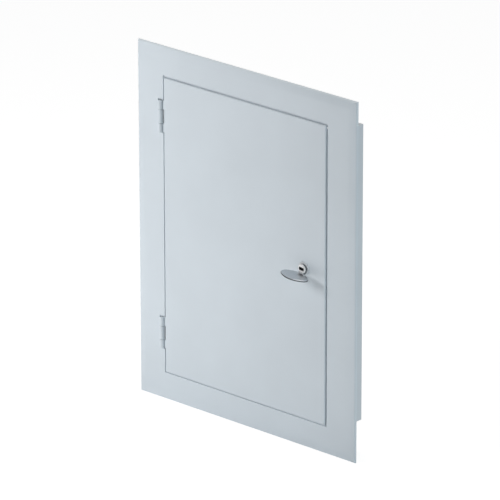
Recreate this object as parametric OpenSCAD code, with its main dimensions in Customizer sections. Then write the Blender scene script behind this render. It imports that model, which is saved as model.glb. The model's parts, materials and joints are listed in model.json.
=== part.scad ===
// Hinged steel access panel: a bevelled face flange with a rear collar that goes into the wall or
// ceiling, a shallow pan door on two knuckle hinges, and a quarter-turn latch with an oval wing.
// Millimetres. X to the right, Y into the wall, Z up. The wall's surface is the plane Y = 0.

/* [Door] */
// Width of the door
door_w = 200; // [160:1:260]
// Height of the door
door_h = 300; // [240:1:400]
// Thickness of the door's sheet
door_t = 1; // [0.8:0.1:1.2]
// Height of the door's face above the flange's face
door_proud = 1.2; // [1:0.1:2.5]
// Inner radius of the door's folded edges
door_bend_r = 0.2; // [0.1:0.1:0.6]
// Gap between the door and the flange's opening
door_gap = 1.5; // [1:0.1:2]
// Gap between the door's folded edge and the ledge behind it
ledge_gap = 0.2; // [0.1:0.05:0.4]

/* [Flange] */
// Width of the flange beside the opening
side_margin = 33.5; // [32:0.5:45]
// Width of the flange above and below the opening
end_margin = 28.5; // [24:0.5:45]
// Thickness of the flange's sheet
flange_t = 1.2; // [0.8:0.1:1.5]
// Width of the bevelled border
bevel_w = 8; // [5:0.5:9]
// Drop of the border from the flat face
bevel_drop = 1.5; // [0.8:0.1:3]
// Depth of the return lip that meets the wall
lip_depth = 2.5; // [1.8:0.1:5]

/* [Collar] */
// Depth of the collar behind the wall's surface
collar_depth = 25; // [20:1:60]
// Thickness of the collar's sheet
collar_t = 1.2; // [0.8:0.1:1.5]
// Outer radius of the collar's bend
collar_bend_r = 2.2; // [1.8:0.1:2.4]
// Distance from the opening's side to the collar's outer face
collar_setback = 18.5; // [17:0.5:20]
// Width of the ledge that the collar leaves above and below the opening's edge
stop_ledge = 3.5; // [3:0.1:5]
// Width of the feet of the top and bottom collar strips
end_foot_w = 12; // [8:0.5:18]
// Diameter of the screw holes
screw_hole_d = 5; // [3:0.1:6.5]
// Distance between the two screw holes of a side
screw_spacing = 200; // [100:5:220]
// Depth of the screw holes behind the wall's surface
screw_hole_y = 11; // [8:0.5:15]

/* [Hinges] */
// Length of a hinge
hinge_len = 32; // [26:1:45]
// Length of the middle knuckle
hinge_mid_len = 13.5; // [9:0.5:16]
// Distance from the door's end to a hinge's middle
hinge_inset = 39.5; // [30:0.5:60]
// Diameter of the knuckles
knuckle_d = 5.4; // [4.8:0.1:5.8]
// Diameter of the hinge pin
pin_d = 3; // [2:0.1:3.4]
// Thickness of the hinge leaves
leaf_t = 1.2; // [0.8:0.1:1.2]
// Width of the door's leaf, from the door's side
door_leaf_w = 18; // [12:1:30]
// Distance from the door's side to the hinge axis
hinge_offset = 4.6; // [4.2:0.1:5.2]
// Radial clearance of the pin in the turning knuckles
pin_clearance = 0.05; // [0.02:0.01:0.1]
// Gap between two knuckles
knuckle_gap = 0.3; // [0.2:0.05:0.6]

/* [Latch] */
// Distance from the door's free side to the latch's axis
latch_inset = 26; // [24:0.5:34]
// Height of the latch's axis above the door's middle
latch_rise = 2.5; // [-20:0.5:20]
// Diameter of the rosette
rosette_d = 12.5; // [12:0.5:20]
// Height of the rosette
rosette_h = 1; // [0.6:0.1:3]
// Diameter of the bush's barrel
barrel_d = 10; // [8:0.5:11]
// Diameter of the spindle
spindle_d = 6; // [5:0.1:6.5]
// Radial clearance of the spindle and the knob's hub in their bush
spindle_clearance = 0.05; // [0.02:0.01:0.1]
// Thickness of the spindle's tang across its flats
tang_t = 3; // [2.5:0.1:4.5]
// Thickness of the barrel's nut
nut_h = 4; // [3:0.1:5]
// Width of the barrel's nut across its flats
nut_af = 14; // [13.5:0.5:16]
// Diameter of the knob's boss in front of the rosette
boss_d = 9; // [8.5:0.1:12]
// Height of the knob's boss
boss_h = 2.2; // [1.5:0.1:6]
// Diameter of the knob's hub inside the bush
hub_d = 7.8; // [7:0.1:7.9]
// Depth of the knob's hub inside the bush
hub_depth = 3.5; // [2:0.1:5]
// Gap between the knob's boss and the rosette
turn_gap = 0.2; // [0.1:0.05:0.4]
// Length of the knob's oval wing, across the latch's axis
wing_len = 31; // [24:0.5:44]
// Width of the wing, along the latch's axis
wing_w = 17; // [12:0.5:24]
// Radius of the wing's ends
wing_end_r = 4.8; // [3:0.1:5.5]
// Thickness of the wing
wing_t = 1.6; // [1.2:0.1:2.2]
// Distance from the latch's axis down to the wing's top
wing_drop = 3.3; // [2.5:0.1:4]
// Gap between the boss's front and the wing's rear edge
wing_lead = 1; // [0.5:0.1:4]
// Angle of the wing from level, with the door closed and unlatched
knob_rest_angle = -5; // [-20:1:20]
// Reach of the cam from the latch's axis
cam_reach = 40; // [36:0.5:42]
// Width of the cam
cam_w = 14; // [10:0.5:16]
// Thickness of the cam
cam_t = 2; // [1.5:0.1:2.5]
// Thickness of the keeper plate that the cam bears on
keeper_t = 1.8; // [1.5:0.1:2.5]
// Height of the keeper plate
keeper_h = 40; // [24:1:60]
// Gap between the latched cam and the keeper plate
cam_gap = 0.4; // [0.2:0.1:0.6]

/* [Hidden] */
$fn = 64;

// Overrun of a cut past the face that it opens
cut = 1;
// Clearance of two pieces of one assembly that are pushed or screwed together
snug = 0.02;
// Clearance round a part that lies in a cut-out
notch_gap = 0.6;

// Flange and opening, as half sizes about the middle
opening_x = door_w / 2 + door_gap;
opening_z = door_h / 2 + door_gap;
flange_x = opening_x + side_margin;
flange_z = opening_z + end_margin;
flange_front = -(lip_depth + bevel_drop);
flange_back = flange_front + flange_t;

// Door, with its side folds as deep as the keeper's back
door_front = flange_front - door_proud;
door_back = door_front + door_t;
door_edge_r = door_t + door_bend_r;
door_rim = flange_back - ledge_gap;
keeper_back = flange_back + keeper_t;

// Collar
collar_x = opening_x + collar_setback;
collar_z = opening_z - stop_ledge;
collar_front = flange_back;
collar_wall = collar_depth - collar_front;
foot_margin = 1;
side_foot_w = side_margin - collar_setback - bevel_w - foot_margin;
fold_end_gap = 1;
side_fold_z = collar_z - collar_t - fold_end_gap;

// Hinges
knuckle_r = knuckle_d / 2;
hinge_x = -(door_w / 2 + hinge_offset);
hinge_y = flange_back + leaf_t - knuckle_r;
hinge_z = door_h / 2 - hinge_inset;
hinge_end_len = (hinge_len - hinge_mid_len) / 2 - knuckle_gap;
hinge_notch_x = hinge_x - knuckle_r - notch_gap;
hinge_notch_h = hinge_len + 2 * notch_gap;
pin_chamfer = 0.4;
pin_end = 0.3;

// Latch, in its own frame: Z is the distance in front of the wall's surface
latch_x = door_w / 2 - latch_inset;
latch_hole_play = 0.4;
latch_hole_d = barrel_d + latch_hole_play;
lock_washer_t = 0.8;
lock_washer_edge = 1;
lock_washer_d = nut_af + 2 * lock_washer_edge;
lock_washer_teeth = 12;
tooth_notch_d = 1.6;
nut_chamfer = 30;
spring_washer_t = 0.6;
cam_washer_t = 0.8;
cam_washer_d = 10;
cam_nut_h = 3.2;
cam_nut_af = 7;
cam_stud_d = 4;
cam_square = 4.2;
bush_end_past_nut = 1;
stud_end_past_nut = 1;
nut_front = -door_back - lock_washer_t;
nut_rear = nut_front - nut_h;
bush_rear = nut_rear - bush_end_past_nut;
cam_front = bush_rear - spring_washer_t;
cam_rear = cam_front - cam_t;
cam_nut_front = cam_rear - cam_washer_t;
stud_end = cam_nut_front - cam_nut_h - stud_end_past_nut;
rosette_front = -door_front + rosette_h;
boss_rear = rosette_front + turn_gap;
boss_front = boss_rear + boss_h;
boss_edge_r = 0.5;
hub_rear = rosette_front - hub_depth;
hub_bore_depth = hub_depth + turn_gap;
wing_middle = boss_front + wing_lead + wing_w / 2;
neck_share = 0.8;
neck_w = boss_d * neck_share;
neck_overlap = 3;
neck_reach = wing_lead + neck_overlap;
tang_recess = 0.6;
tang_front = boss_front - tang_recess;
cam_hub_rim = 1;
cam_hub_r = cam_w / 2 + cam_hub_rim;
cam_tip_r = 5;
cam_tip_front = -keeper_back - cam_gap;
nut_corner_gap = 2.5;
cam_ramp_len = 6;
cam_ramp_start = nut_af / sqrt(3) + nut_corner_gap;
cam_ramp_end = cam_ramp_start + cam_ramp_len;

// Places a shape that is drawn looking at the panel's front, with Z pointing out of the wall
module facing_out(x, z) {
  translate([x, 0, z]) rotate([90, 0, 0]) children();
}

// Extrudes a profile of X and Y along the panel's height
module along_height(length) {
  linear_extrude(length, center = true) children();
}

// Extrudes a profile of Z and Y along the panel's width
module along_width(length) {
  rotate([0, -90, 0]) linear_extrude(length, center = true) children();
}

// Outer form of the flange in one direction: lip, bevel and flat face
module flange_section(half) {
  flat = half - bevel_w;
  polygon([
    [-half, 0], [-half, -lip_depth], [-flat, flange_front],
    [flat, flange_front], [half, -lip_depth], [half, 0]
  ]);
}

// Hollow behind the flange, one sheet thickness inside the outer form
module flange_hollow_section(half) {
  slope = atan2(bevel_drop, bevel_w);
  side = half - flange_t;
  flat = half - bevel_w - flange_t * tan(slope / 2);
  lip_top = -lip_depth + flange_t * tan(45 - slope / 2);
  polygon([
    [-side, cut], [-side, lip_top], [-flat, flange_back],
    [flat, flange_back], [side, lip_top], [side, cut]
  ]);
}

// Plate with two rounded front edges, for a folded pan
module pan_section(half, front, rear, r) {
  translate([-half, front + r]) square([2 * half, rear - front - r]);
  translate([-(half - r), front]) square([2 * (half - r), r]);
  for (side = [-1, 1]) translate([side * (half - r), front + r]) intersection() {
    circle(r);
    translate([-r, -r]) square([2 * r, r]);
  }
}

// Angle section with a rounded bend: the foot runs along X, the wall along Y from the foot's front
module angle_section(foot, wall, t, r) {
  translate([r - t, 0]) square([foot + t - r, t]);
  translate([-t, r]) square([t, wall - r]);
  intersection() {
    translate([r - t, r]) difference() {
      circle(r);
      circle(r - t);
    }
    translate([-t, 0]) square(r);
  }
}

// Oval of four tangent arcs: two long sides and two round ends
module oval(length, width, end_r) {
  end_x = length / 2 - end_r;
  half_w = width / 2;
  side_r = (end_x * end_x + half_w * half_w - end_r * end_r) / (2 * (half_w - end_r));
  tangent_x = end_x * side_r / (side_r - end_r);
  intersection() {
    translate([0, side_r - half_w]) circle(side_r, $fn = 128);
    translate([0, half_w - side_r]) circle(side_r, $fn = 128);
    square([2 * tangent_x, width], center = true);
  }
  for (side = [-1, 1]) translate([side * end_x, 0]) circle(end_r);
}

module ring(d_out, d_in, h) {
  difference() {
    cylinder(d = d_out, h = h);
    translate([0, 0, -cut]) cylinder(d = d_in, h = h + 2 * cut);
  }
}

// Hexagon nut with the corners of its outer face chamfered
module hex_nut(af, h, bore) {
  difference() {
    intersection() {
      cylinder(d = af * 2 / sqrt(3), h = h, $fn = 6);
      cylinder(r1 = af / 2 + h / tan(nut_chamfer), r2 = af / 2, h = h);
    }
    translate([0, 0, -cut]) cylinder(d = bore, h = h + 2 * cut);
  }
}

module frame_flange() color("#c9d3da") difference() {
  intersection() {
    along_height(2 * flange_z) flange_section(flange_x);
    along_width(2 * flange_x) flange_section(flange_z);
  }
  intersection() {
    along_height(2 * flange_z) flange_hollow_section(flange_x);
    along_width(2 * flange_x) flange_hollow_section(flange_z);
  }
  translate([-opening_x, flange_front - cut, -opening_z])
    cube([2 * opening_x, flange_t + 2 * cut, 2 * opening_z]);
  for (side = [-1, 1])
    translate([hinge_notch_x, flange_front - cut, side * hinge_z - hinge_notch_h / 2])
      cube([-opening_x - hinge_notch_x + cut, flange_t + 2 * cut, hinge_notch_h]);
}

module collar_side() color("#b7c2ca") difference() {
  translate([collar_x, collar_front, 0]) along_height(2 * collar_z)
    angle_section(side_foot_w, collar_wall, collar_t, collar_bend_r);
  for (side = [-1, 1])
    translate([collar_x - collar_t - cut, screw_hole_y, side * screw_spacing / 2]) rotate([0, 90, 0])
      cylinder(d = screw_hole_d, h = collar_t + 2 * cut);
}

module collar_right() collar_side();

module collar_left() mirror([1, 0, 0]) collar_side();

module collar_top() color("#b7c2ca") translate([0, collar_front, collar_z])
  along_width(2 * (collar_x - collar_t))
    angle_section(end_foot_w, collar_wall, collar_t, collar_bend_r);

module collar_bottom() mirror([0, 0, 1]) collar_top();

// Leaf behind the flange's margin, rolled into the middle knuckle
module hinge_frame_leaf(z) color("#aab4bb") difference() {
  union() {
    translate([hinge_x, hinge_y, z - hinge_mid_len / 2]) cylinder(r = knuckle_r, h = hinge_mid_len);
    translate([hinge_notch_x, flange_back, z - hinge_mid_len / 2])
      cube([hinge_x - hinge_notch_x, leaf_t, hinge_mid_len]);
    translate([-(collar_x - collar_t - notch_gap), flange_back, z - hinge_len / 2])
      cube([collar_x - collar_t - notch_gap + hinge_notch_x, leaf_t, hinge_len]);
  }
  translate([hinge_x, hinge_y, z - hinge_len / 2]) cylinder(d = pin_d + 2 * snug, h = hinge_len);
}

// Leaf behind the door's face, rolled into the two outer knuckles
module hinge_door_leaf(z) color("#aab4bb") difference() {
  union() {
    for (side = [-1, 1]) {
      middle = z + side * (hinge_len - hinge_end_len) / 2;
      translate([hinge_x, hinge_y, middle - hinge_end_len / 2])
        cylinder(r = knuckle_r, h = hinge_end_len);
      translate([hinge_x, door_back, middle - hinge_end_len / 2])
        cube([hinge_offset + door_t + cut, leaf_t, hinge_end_len]);
    }
    translate([-door_w / 2 + door_t, door_back, z - hinge_len / 2])
      cube([door_leaf_w - door_t, leaf_t, hinge_len]);
  }
  translate([hinge_x, hinge_y, z - hinge_len / 2 - cut])
    cylinder(d = pin_d + 2 * pin_clearance, h = hinge_len + 2 * cut);
}

module hinge_pin(z) color("#8d979e") translate([hinge_x, hinge_y, z - hinge_len / 2 - pin_end]) {
  length = hinge_len + 2 * pin_end;
  rotate_extrude() polygon([
    [0, 0], [pin_d / 2 - pin_chamfer, 0], [pin_d / 2, pin_chamfer],
    [pin_d / 2, length - pin_chamfer], [pin_d / 2 - pin_chamfer, length], [0, length]
  ]);
}

module hinge_upper_frame_leaf() hinge_frame_leaf(hinge_z);

module hinge_lower_frame_leaf() hinge_frame_leaf(-hinge_z);

module hinge_upper_door_leaf() hinge_door_leaf(hinge_z);

module hinge_lower_door_leaf() hinge_door_leaf(-hinge_z);

module hinge_upper_pin() hinge_pin(hinge_z);

module hinge_lower_pin() hinge_pin(-hinge_z);

// Plate behind the flange's free side, which the cam bears on
module latch_keeper() color("#aab4bb")
  translate([opening_x + notch_gap, flange_back, latch_rise - keeper_h / 2])
    cube([collar_setback - collar_t - 2 * notch_gap, keeper_t, keeper_h]);

// Pan whose end folds rest on the collar's ledges and whose side folds reach past the flange
module door_panel() color("#cbd5dc") difference() {
  half_w = door_w / 2;
  half_h = door_h / 2;
  union() {
    intersection() {
      along_height(door_h) pan_section(half_w, door_front, door_rim, door_edge_r);
      along_width(door_w) pan_section(half_h, door_front, door_rim, door_edge_r);
    }
    translate([-half_w, door_back, -side_fold_z])
      cube([door_w, keeper_back - door_back, 2 * side_fold_z]);
  }
  intersection() {
    along_height(door_h)
      pan_section(half_w - door_t, door_back, keeper_back + cut, door_bend_r);
    along_width(door_w)
      pan_section(half_h - door_t, door_back, keeper_back + cut, door_bend_r);
  }
  for (side = [-1, 1])
    translate([-half_w - cut, door_back, side * hinge_z - hinge_notch_h / 2])
      cube([door_t + 2 * cut, keeper_back - door_back + cut, hinge_notch_h]);
  facing_out(latch_x, latch_rise) translate([0, 0, -door_back - cut])
    cylinder(d = latch_hole_d, h = door_t + 2 * cut);
}

// Rosette with a rounded rim and the threaded barrel behind it, counterbored for the knob's hub
module latch_bush() color("#dfe4e7") facing_out(latch_x, latch_rise) rotate_extrude() difference() {
  bore_r = spindle_d / 2 + spindle_clearance;
  hub_bore_r = hub_d / 2 + spindle_clearance;
  rim_r = rosette_h / 2;
  union() {
    translate([bore_r, bush_rear]) square([barrel_d / 2 - bore_r, -door_front - bush_rear]);
    translate([bore_r, -door_front]) square([rosette_d / 2 - rim_r - bore_r, rosette_h]);
    translate([rosette_d / 2 - rim_r, -door_front]) square([rim_r, rosette_h - rim_r]);
    intersection() {
      translate([rosette_d / 2 - rim_r, rosette_front - rim_r]) circle(rim_r);
      translate([rosette_d / 2 - rim_r, rosette_front - rim_r]) square(rim_r);
    }
  }
  translate([0, rosette_front - hub_bore_depth]) square([hub_bore_r, hub_bore_depth + cut]);
}

module latch_lock_washer() color("#9aa3a9")
  facing_out(latch_x, latch_rise) translate([0, 0, nut_front]) difference() {
    ring(lock_washer_d, barrel_d + 2 * snug, lock_washer_t);
    for (tooth = [0:lock_washer_teeth - 1])
      rotate(tooth * 360 / lock_washer_teeth) translate([lock_washer_d / 2, 0, -cut])
        cylinder(d = tooth_notch_d, h = lock_washer_t + 2 * cut);
  }

module latch_nut() color("#a8b0b5")
  facing_out(latch_x, latch_rise) translate([0, 0, nut_front]) mirror([0, 0, 1])
    hex_nut(nut_af, nut_h, barrel_d + 2 * snug);

// Places a piece that turns with the knob
module turning() {
  facing_out(latch_x, latch_rise) rotate(knob_rest_angle) children();
}

// Round bar with two flats, from one height to another
module flatted_bar(d, t, from, to) {
  intersection() {
    translate([0, 0, from]) cylinder(d = d, h = to - from);
    translate([-d, -t / 2, from]) cube([2 * d, t, to - from]);
  }
}

// Boss and hub on the spindle's tang, with a flat oval wing that stands out below the boss
module turn_knob() color("#d5dadd") turning() difference() {
  union() {
    translate([0, 0, hub_rear]) cylinder(d = hub_d, h = boss_front - boss_edge_r - hub_rear);
    rotate_extrude() {
      translate([0, boss_rear]) square([boss_d / 2, boss_h - boss_edge_r]);
      translate([0, boss_front - boss_edge_r]) square([boss_d / 2 - boss_edge_r, boss_edge_r]);
      intersection() {
        translate([boss_d / 2 - boss_edge_r, boss_front - boss_edge_r]) circle(boss_edge_r);
        translate([boss_d / 2 - boss_edge_r, boss_front - boss_edge_r]) square(boss_edge_r);
      }
    }
    translate([0, -wing_drop, wing_middle]) rotate([90, 0, 0]) linear_extrude(wing_t)
      oval(wing_len, wing_w, wing_end_r);
    translate([-neck_w / 2, -wing_drop - wing_t, boss_rear]) cube([neck_w, wing_t, boss_h + neck_reach]);
  }
  flatted_bar(spindle_d + 2 * snug, tang_t + 2 * snug, hub_rear - cut, boss_front + cut);
}

// Shaft with a flatted tang in front for the knob, and a square and a stud behind for the cam
module latch_spindle() color("#3a3d40") turning() {
  translate([0, 0, cam_front]) cylinder(d = spindle_d, h = hub_rear - snug - cam_front);
  flatted_bar(spindle_d, tang_t, hub_rear - snug, tang_front);
  translate([-cam_square / 2, -cam_square / 2, cam_rear]) cube([cam_square, cam_square, cam_t]);
  translate([0, 0, stud_end]) cylinder(d = cam_stud_d, h = cam_rear - stud_end);
}

module spring_washer() color("#7f888e") turning() translate([0, 0, cam_front])
  ring(barrel_d, spindle_d + 2 * snug, spring_washer_t);

// Cranked cam: a hub on the spindle's square and a tip that lies closer to the flange
module latch_cam() color("#98a2a8") turning() difference() {
  intersection() {
    rotate([0, 0, -90]) rotate([90, 0, 0]) linear_extrude(2 * cam_hub_r, center = true) polygon([
      [-cam_hub_r, cam_rear], [cam_ramp_start, cam_rear], [cam_ramp_end, cam_tip_front - cam_t],
      [cam_reach, cam_tip_front - cam_t], [cam_reach, cam_tip_front], [cam_ramp_end, cam_tip_front],
      [cam_ramp_start, cam_front], [-cam_hub_r, cam_front]
    ]);
    translate([0, 0, cam_rear - cut]) linear_extrude(cam_tip_front - cam_rear + 2 * cut) {
      circle(cam_hub_r);
      translate([-cam_w / 2, -cam_reach + cam_tip_r]) square([cam_w, cam_reach - cam_tip_r]);
      translate([-cam_w / 2 + cam_tip_r, -cam_reach]) square([cam_w - 2 * cam_tip_r, cam_tip_r]);
      for (side = [-1, 1])
        translate([side * (cam_w / 2 - cam_tip_r), -cam_reach + cam_tip_r]) circle(cam_tip_r);
    }
  }
  translate([-cam_square / 2 - snug, -cam_square / 2 - snug, cam_rear - cut])
    cube([cam_square + 2 * snug, cam_square + 2 * snug, cam_t + 2 * cut]);
}

module cam_washer() color("#9aa3a9") turning() translate([0, 0, cam_nut_front])
  ring(cam_washer_d, cam_stud_d + 2 * snug, cam_washer_t);

module cam_nut() color("#a8b0b5") turning() translate([0, 0, cam_nut_front]) mirror([0, 0, 1])
  hex_nut(cam_nut_af, cam_nut_h, cam_stud_d + 2 * snug);

frame_flange();
collar_left();
collar_right();
collar_top();
collar_bottom();
hinge_upper_frame_leaf();
hinge_lower_frame_leaf();
hinge_upper_pin();
hinge_lower_pin();
latch_keeper();
door_panel();
hinge_upper_door_leaf();
hinge_lower_door_leaf();
latch_bush();
latch_lock_washer();
latch_nut();
turn_knob();
latch_spindle();
spring_washer();
latch_cam();
cam_washer();
cam_nut();
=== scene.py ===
"""Dressed model of a hinged steel access panel: face frame, pan door, knuckle hinges and wing latch."""

import json
import logging
import math
from collections.abc import Callable, Iterable
from dataclasses import dataclass
from enum import Enum

import bmesh
import bpy
from mathutils import Matrix, Vector


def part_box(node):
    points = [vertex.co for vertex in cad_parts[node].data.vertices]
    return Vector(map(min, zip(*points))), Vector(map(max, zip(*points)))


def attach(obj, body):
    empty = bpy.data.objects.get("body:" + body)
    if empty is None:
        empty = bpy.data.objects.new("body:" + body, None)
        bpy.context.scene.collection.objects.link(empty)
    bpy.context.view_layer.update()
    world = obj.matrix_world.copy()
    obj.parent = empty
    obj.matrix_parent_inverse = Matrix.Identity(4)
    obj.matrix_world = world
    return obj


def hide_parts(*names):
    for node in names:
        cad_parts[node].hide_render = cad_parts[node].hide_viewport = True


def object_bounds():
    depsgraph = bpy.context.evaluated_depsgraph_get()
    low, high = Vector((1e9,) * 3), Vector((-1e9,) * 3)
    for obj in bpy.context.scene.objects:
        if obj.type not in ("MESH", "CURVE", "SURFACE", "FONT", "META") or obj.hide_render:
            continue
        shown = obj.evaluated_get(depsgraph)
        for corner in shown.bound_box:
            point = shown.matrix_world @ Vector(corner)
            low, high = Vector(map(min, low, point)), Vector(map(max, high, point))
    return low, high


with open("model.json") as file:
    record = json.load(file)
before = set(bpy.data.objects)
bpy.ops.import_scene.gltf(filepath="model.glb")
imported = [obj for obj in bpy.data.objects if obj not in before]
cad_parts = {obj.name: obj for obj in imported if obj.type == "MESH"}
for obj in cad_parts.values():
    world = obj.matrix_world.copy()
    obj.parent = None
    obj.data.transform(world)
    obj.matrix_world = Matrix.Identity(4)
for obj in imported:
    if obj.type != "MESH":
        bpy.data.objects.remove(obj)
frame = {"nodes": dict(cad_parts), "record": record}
CAD_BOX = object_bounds()

LOG = logging.getLogger("access_panel")
MM = 0.001
MERGE = 0.002 * MM  # points closer than this become one
SNAP = MERGE / 4  # points this near a cut lie on it
TOUCH = 0.02 * MM  # slack when a point is compared with a plane
FLAT = math.radians(0.5)  # faces that meet at less than this become one
SHARP = math.radians(40)  # edges that meet at more than this are rounded
EDGE_STEPS = 3
CORNER_STEPS = 5
HOLE_STEPS = 8
AREA_WEIGHT = 100


class Body(Enum):
    """The bodies of the frame that a piece can ride on."""

    FRAME = "frame"
    DOOR = "door"
    LATCH = "latch"


class Hand(Enum):
    """Side of the panel's middle plane, as a sign along X."""

    LEFT = -1
    RIGHT = 1


class End(Enum):
    """Upper or lower end of the panel, as a sign along Z."""

    TOP = 1
    BOTTOM = -1


class Axis(Enum):
    """Main directions of the frame."""

    X = Vector((1, 0, 0))
    Y = Vector((0, 1, 0))
    Z = Vector((0, 0, 1))


def spread(tree: bpy.types.NodeTree, fac: bpy.types.NodeSocket, low: float,
           high: float) -> bpy.types.NodeSocket:
    """Maps a value of 0 to 1 onto a range.

    Args:
        tree: Node tree that gets the node.
        fac: Value to map.
        low: Result at 0.
        high: Result at 1.

    Returns:
        The socket with the result.
    """
    span = tree.nodes.new("ShaderNodeMapRange")
    span.inputs["To Min"].default_value = low
    span.inputs["To Max"].default_value = high
    tree.links.new(fac, span.inputs["Value"])
    return span.outputs["Result"]


class ShaderSheet:
    """A new material's node tree, with short calls that add and join its nodes."""

    def __init__(self, name: str) -> None:
        """Starts the tree with its shader and its Object coordinates.

        Args:
            name: Name of the material.
        """
        self.material = bpy.data.materials.new(name)
        self.material.use_nodes = True
        self.tree = self.material.node_tree
        self.shader = self.tree.nodes["Principled BSDF"]
        self.place = self.add("ShaderNodeTexCoord").outputs["Object"]

    def add(self, kind: str) -> bpy.types.Node:
        """Adds a node of a kind."""
        return self.tree.nodes.new(kind)

    def join(self, source: bpy.types.NodeSocket, target: bpy.types.NodeSocket) -> None:
        """Joins an output to an input."""
        self.tree.links.new(source, target)

    def set(self, **values: object) -> None:
        """Sets inputs of the shader by name, with underscores for spaces."""
        for name, value in values.items():
            self.shader.inputs[name.replace("_", " ")].default_value = value

    def noise(self, grain: float, detail: float,
              stretch: tuple[float, float, float] = (1, 1, 1)) -> bpy.types.NodeSocket:
        """Adds a noise pattern.

        Args:
            grain: Size of one grain in metres.
            detail: Number of finer octaves.
            stretch: Factor on the coordinates along each axis.

        Returns:
            The pattern's value from 0 to 1.
        """
        mapping = self.add("ShaderNodeMapping")
        mapping.inputs["Scale"].default_value = stretch
        self.join(self.place, mapping.inputs["Vector"])
        noise = self.add("ShaderNodeTexNoise")
        noise.inputs["Scale"].default_value = 1 / grain
        noise.inputs["Detail"].default_value = detail
        self.join(mapping.outputs["Vector"], noise.inputs["Vector"])
        return noise.outputs["Fac"]

    def tint(self, fac: bpy.types.NodeSocket, tone: tuple[float, ...], drift: float) -> None:
        """Lets the base colour drift round a tone with a pattern.

        Args:
            fac: Pattern that moves the tone.
            tone: Linear colour in the middle.
            drift: Share by which the tone goes down and up.
        """
        ramp = self.add("ShaderNodeValToRGB")
        dark, light = ramp.color_ramp.elements
        dark.color = (*(c * (1 - drift) for c in tone), 1)
        light.color = (*(min(1, c * (1 + drift)) for c in tone), 1)
        self.join(fac, ramp.inputs["Fac"])
        self.join(ramp.outputs["Color"], self.shader.inputs["Base Color"])

    def polish(self, fac: bpy.types.NodeSocket, low: float, high: float) -> None:
        """Runs the roughness between two values with a pattern."""
        self.join(spread(self.tree, fac, low, high), self.shader.inputs["Roughness"])

    def relief(self, fac: bpy.types.NodeSocket, height: float, strength: float) -> None:
        """Raises the surface with a pattern.

        Args:
            fac: Pattern that gives the height.
            height: Height of the relief in metres.
            strength: Share of the relief that shows.
        """
        bump = self.add("ShaderNodeBump")
        bump.inputs["Distance"].default_value = height
        bump.inputs["Strength"].default_value = strength
        self.join(fac, bump.inputs["Height"])
        self.join(bump.outputs["Normal"], self.shader.inputs["Normal"])


def linear(red: float, green: float, blue: float) -> tuple[float, float, float]:
    """Turns a display colour of 0 to 255 into linear light.

    Args:
        red: Red share.
        green: Green share.
        blue: Blue share.

    Returns:
        The three linear shares from 0 to 1.
    """
    shares = (value / 255 for value in (red, green, blue))
    return tuple(s / 12.92 if s <= 0.04045 else ((s + 0.055) / 1.055) ** 2.4 for s in shares)


@dataclass(frozen=True)
class PowderCoat:
    """Stoved gloss powder coat with its faint orange-peel skin."""

    slot: str
    shade: tuple[float, float, float]
    gloss: float
    peel: float = 1.6 * MM
    peel_height: float = 0.03 * MM
    peel_share: float = 0.35
    peel_octaves: int = 2
    cloud: float = 60 * MM
    cloud_octaves: int = 3
    drift: float = 0.05
    gloss_drift: float = 0.06

    def material(self) -> bpy.types.Material:
        """Makes the coat's node material.

        Returns:
            The material.
        """
        sheet = ShaderSheet(self.slot)
        cloud = sheet.noise(self.cloud, self.cloud_octaves)
        peel = sheet.noise(self.peel, self.peel_octaves)
        sheet.tint(cloud, linear(*self.shade), self.drift)
        sheet.polish(cloud, self.gloss - self.gloss_drift, self.gloss + self.gloss_drift)
        sheet.relief(peel, self.peel_height, self.peel_share)
        return sheet.material


@dataclass(frozen=True)
class Metal:
    """Bare or plated metal with a fine grain in its polish and tone."""

    slot: str
    shade: tuple[float, float, float]
    shine: tuple[float, float]
    grain: float
    drift: float
    relief: float
    stretch: tuple[float, float, float] = (1, 1, 1)
    metallic: float = 1.0
    sheen: float = 0.5
    octaves: int = 4
    relief_share: float = 0.3

    def material(self) -> bpy.types.Material:
        """Makes the metal's node material.

        Returns:
            The material.
        """
        sheet = ShaderSheet(self.slot)
        grain = sheet.noise(self.grain, self.octaves, self.stretch)
        sheet.tint(grain, linear(*self.shade), self.drift)
        sheet.polish(grain, *self.shine)
        sheet.relief(grain, self.relief, self.relief_share)
        sheet.set(Metallic=self.metallic, Specular_IOR_Level=self.sheen)
        return sheet.material


Finish = PowderCoat | Metal

FLANGE_COAT = PowderCoat("flange_paint", (212, 222, 229), 0.3)
DOOR_COAT = PowderCoat("door_paint", (212, 222, 229), 0.3)
COLLAR_COAT = PowderCoat("collar_paint", (208, 216, 222), 0.38)
HINGE_COAT = PowderCoat("hinge_paint", (212, 222, 229), 0.34, peel=1.1 * MM)
PIN_STEEL = Metal("pin_steel", (190, 194, 198), (0.22, 0.34), 0.5 * MM, 0.08, 0.005 * MM, (1, 1, 0.1))
CHROME = Metal("knob_chrome", (206, 210, 214), (0.24, 0.34), 0.6 * MM, 0.03, 0.002 * MM)
# Near-white non-metal front face of the chrome boss: a painted highlight that stands in for the chrome's
# bright reflection.
PAINTED_HIGHLIGHT_FACE = Metal("knob_chrome", (253, 254, 254), (0.3, 0.38), 0.4 * MM, 0.01, 0.002 * MM, metallic=0.0)
SATIN = Metal("knob_chrome", (224, 229, 233), (0.32, 0.42), 0.4 * MM, 0.02, 0.002 * MM, metallic=0.25)
# Dark tone on the chrome knob's edges and boss wall: painted shade and painted dark reflection.
PAINTED_DARK_REFLECTION = Metal("knob_chrome", (92, 98, 104), (0.26, 0.36), 0.5 * MM, 0.06, 0.002 * MM)
BLACK_STEEL = Metal("dark_steel", (16, 16, 18), (0.5, 0.62), 0.4 * MM, 0.2, 0.006 * MM, metallic=0.0,
                    sheen=0.15)
ZINC = Metal("zinc_steel", (204, 208, 212), (0.24, 0.4), 2.2 * MM, 0.07, 0.008 * MM)

_made: dict[Finish, bpy.types.Material] = {}


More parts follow.
